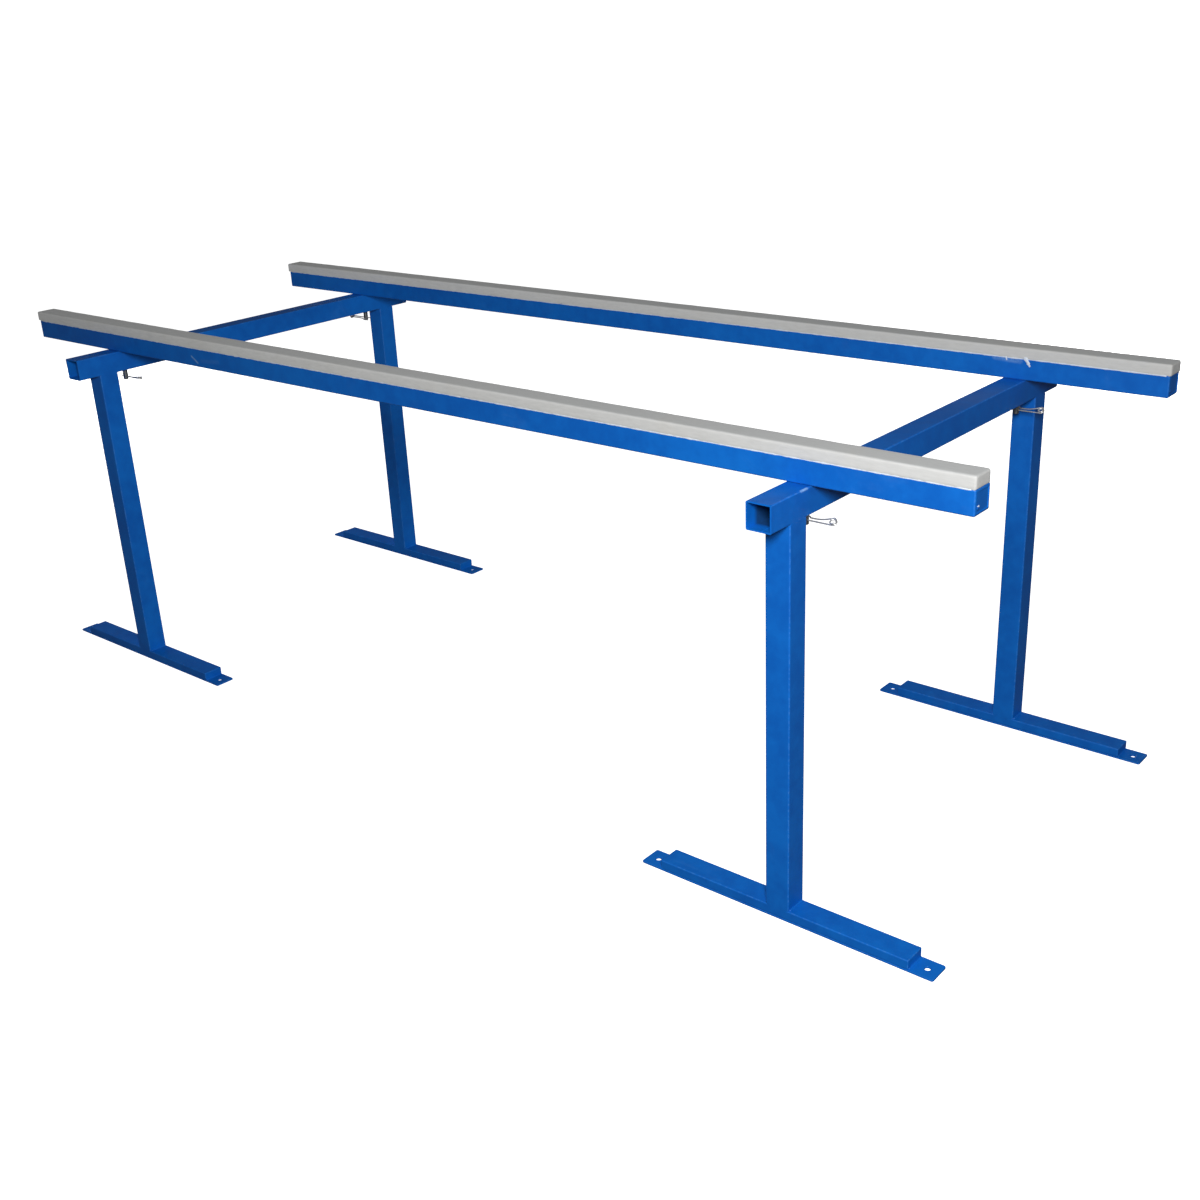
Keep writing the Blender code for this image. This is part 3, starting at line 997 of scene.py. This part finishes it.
class TRESTLE_OT_stage(bpy.types.Operator):
    """A plain pale floor, soft studio lights and the camera"""

    bl_idname = "trestle.stage"
    bl_label = "Stage"

    def execute(self, context):
        deselect()
        bpy.ops.mesh.primitive_circle_add(vertices=96, radius=FLOOR_RADIUS, fill_type="NGON")
        floor = named("studio_floor")
        begin(floor, "FACE")
        select_all()
        bpy.ops.mesh.inset(thickness=FLOOR_RADIUS * 0.5)
        end()
        floor.data.materials.append(material("floor"))
        floor.visible_diffuse = False
        floor.visible_glossy = False
        for name, (place, aim, size, power, shows) in LIGHTS.items():
            lamp = bpy.data.lights.new(name, "AREA")
            lamp.shape = "DISK"
            lamp.size, lamp.energy = size, power
            stand = bpy.data.objects.new(name, lamp)
            stand.location = place
            stand.visible_glossy = shows
            stand.rotation_euler = (Vector(aim) - Vector(place)).to_track_quat("-Z", "Y").to_euler()
            context.scene.collection.objects.link(stand)
        self.world(context.scene)
        self.camera(context.scene)
        context.scene.view_settings.view_transform = "Standard"
        return {"FINISHED"}

    def world(self, scene):
        """Even soft light from all round, in front of a paler backdrop."""
        world = bpy.data.worlds.new("soft studio")
        world.use_nodes = True
        scene.world = world
        tree = world.node_tree
        tree.nodes.clear()
        light, backdrop = (tree.nodes.new("ShaderNodeBackground") for _ in range(2))
        light.inputs["Color"].default_value = (0.94, 0.97, 1.0, 1.0)
        light.inputs["Strength"].default_value = SOFT_LIGHT
        backdrop.inputs["Strength"].default_value = BACKDROP
        backdrop.inputs["Color"].default_value = (1.0, 1.0, 1.0, 1.0)
        mix = tree.nodes.new("ShaderNodeMixShader")
        path = tree.nodes.new("ShaderNodeLightPath")
        output = tree.nodes.new("ShaderNodeOutputWorld")
        tree.links.new(path.outputs["Is Camera Ray"], mix.inputs["Fac"])
        tree.links.new(light.outputs[0], mix.inputs[1])
        tree.links.new(backdrop.outputs[0], mix.inputs[2])
        tree.links.new(mix.outputs[0], output.inputs["Surface"])

    def camera(self, scene):
        lens = bpy.data.cameras.new("camera")
        lens.lens, lens.sensor_width = CAMERA_LENS, 36.0
        camera = bpy.data.objects.new("camera", lens)
        scene.collection.objects.link(camera)
        yaw, pitch, roll = (math.radians(angle) for angle in CAMERA_TURN)
        ahead = Vector((-math.sin(yaw) * math.cos(pitch), math.cos(yaw) * math.cos(pitch), math.sin(pitch)))
        right = Vector((math.cos(yaw), math.sin(yaw), 0))
        up = right.cross(ahead)
        across = right * math.cos(roll) + up * math.sin(roll)
        over = up * math.cos(roll) - right * math.sin(roll)
        turn = Matrix((across, over, -ahead)).transposed().to_4x4()
        camera.matrix_world = Matrix.Translation(CAMERA_PLACE) @ turn
        scene.camera = camera


# ---------------------------------------------------------------- fixed values

DRILL_PAST = 0.010           # how far a drill runs past what it cuts
PLATE_CORNER = 0.0045
SEAM_WIDTH, SEAM_HEIGHT = 0.0022, 0.0005
SEAM_OFFSET, SEAM_INSET = 0.006, 0.002
SEAM_UNEVEN, PAD_UNEVEN = 0.00018, 0.00022
PAD_REACH = 0.004            # how far a ground weld runs along its leg
BEAD_SINK = 0.0004
LEG_BEAD_INSET, FOOT_BEAD_INSET = 0.0035, 0.004
LUMP_RADIUS, LUMP_UNEVEN = 0.0042, 0.00012
LUMP_PLACE = (0.010, 0.013)  # along Y and Z from the rail end's lowest corner
STUD_SINK = 0.0005           # how far a stud runs into its rail
STUD_CHAMFER = 0.0015

CLIP_TAIL = 0.018            # straight arm past the stud's centre
CLIP_REACH = 0.052           # from the stud's centre to the coil's centre
COIL_RADIUS = 0.0055
COIL_TURNS = 1.5
COIL_PITCH = 0.0037
COIL_STEPS, GRIP_STEPS = 72, 24
GRIP_RADIUS = 0.0093         # of the bent arm's bow round the stud
GRIP_HALF_ANGLE = math.radians(48)
BENT_ARM_STEPS = 24
BENT_ARM_BOW = 0.0022
FLARE_REACH, FLARE_WIDTH = 0.016, 0.0105
FLARE_CURVE, FLARE_STEPS = 1.5, 12

# which way each clip points along X, and its roll about its straight arm
CLIP_SETTINGS = {
    ("near", "left"): (1, math.radians(-20)),
    ("far", "left"): (-1, math.radians(-30)),
    ("near", "right"): (1, math.radians(30)),
    ("far", "right"): (1, math.radians(30)),
}

# each drip's distance from the rail's right end, its width, length and lean
GLUE_DRIPS = ((0.2867, 0.0052, 0.015, 0.009), (0.3291, 0.0022, 0.006, 0.002))

PALE_SPOT = (0.0, 0.0115, 0.0150)         # from the rail end's lowest near corner
SPOT_RADIUS = 0.0035
LIP_CORNER, LIP_HEIGHT = 0.0012, 0.004
STRIP_WAVES, STRIP_RAGS = 0.0016, 0.0032
SHADE_DEPTH = 0.020          # how far into the open beam ends the paint stays lit before its painted shade
END_SEAM_INSET, END_SEAM_DEPTH = 0.0024, 0.0010

CLEAN_STRIP = (0.92, 0.92, 0.90)
STRIP_CLEAN = (-0.90, 1.00)  # along X, where the strips turn from clean to handled
PALE_MARK_COLOUR = (0.30, 0.52, 0.82)
# colour of the painted shade deep inside the open beam ends
INSIDE_SHADE = (0.010, 0.055, 0.170)
PALE_MARKS = (                   # start, end, width and strength of each mark in the paint
    (on("rail_near", 0.6617, 0.0, 0.0237), on("rail_near", 0.6837, 0.0, 0.0097), 0.0036, 0.60),
    (on("rail_near", 0.6987, 0.0, 0.0157), on("rail_near", 0.7637, 0.0, 0.0207), 0.0070, 0.07),
    # a pale spot along the right beam's top corner, beside the near rail
    (on("crossbeam_right", 0.0495, 0.0880, 0.0495), on("crossbeam_right", 0.0495, 0.1050, 0.0495),
     0.0042, 0.85),
    (on("rail_far", 2.2697, 0.0, 0.0417), on("rail_far", 2.3247, 0.0, 0.0387), 0.0085, 0.34),
)

FLOOR_RADIUS = 14.0
FLOOR_GLOW = 1.0
SOFT_LIGHT = 0.07
BACKDROP = 1.15
LIGHTS = {                   # place, aim, size, power, and whether it shows in the gloss
    "key": ((2.25, -2.28, 1.98), (0.3, -0.1, 0.55), 0.75, 80.0, True),
    "back fill": ((0.2, 4.4, 0.75), (0.0, 0.0, 0.45), 2.0, 64.0, False),
    "side fill": ((-4.6, 0.4, 0.75), (0.0, 0.0, 0.45), 2.0, 64.0, False),
}

CAMERA_PLACE = Vector((2.2500, -2.3540, 1.5713))
CAMERA_TURN = (41.042, -22.551, -2.840)      # yaw from +Y, pitch and roll in degrees
CAMERA_LENS = 43.167

MAKERS = (TRESTLE_OT_crossbeams, TRESTLE_OT_legs, TRESTLE_OT_feet, TRESTLE_OT_weld_beads, TRESTLE_OT_rails,
          TRESTLE_OT_studs, TRESTLE_OT_clips, TRESTLE_OT_cap_strips, TRESTLE_OT_glue, TRESTLE_OT_stage)


class TRESTLE_PT_panel(bpy.types.Panel):
    """Lists the makers, the sizes and the colours"""

    bl_idname = "TRESTLE_PT_panel"
    bl_label = "Trestle Stand"
    bl_space_type = "VIEW_3D"
    bl_region_type = "UI"
    bl_category = "Trestle"

    def draw(self, context):
        for maker in MAKERS:
            self.layout.operator(maker.bl_idname)
        for group in (context.scene.trestle_sizes, context.scene.trestle_colours):
            box = self.layout.box()
            for name in group.__annotations__:
                box.prop(group, name)


CLASSES = (TrestleSizes, TrestleColours, *MAKERS, TRESTLE_PT_panel)


def register():
    for made in CLASSES:
        bpy.utils.register_class(made)
    bpy.types.Scene.trestle_sizes = PointerProperty(type=TrestleSizes)
    bpy.types.Scene.trestle_colours = PointerProperty(type=TrestleColours)


def unregister():
    del bpy.types.Scene.trestle_colours
    del bpy.types.Scene.trestle_sizes
    for made in reversed(CLASSES):
        bpy.utils.unregister_class(made)


def main():
    register()
    for maker in MAKERS:
        group, name = maker.bl_idname.split(".")
        getattr(getattr(bpy.ops, group), name)()


if __name__ == "__main__":
    main()
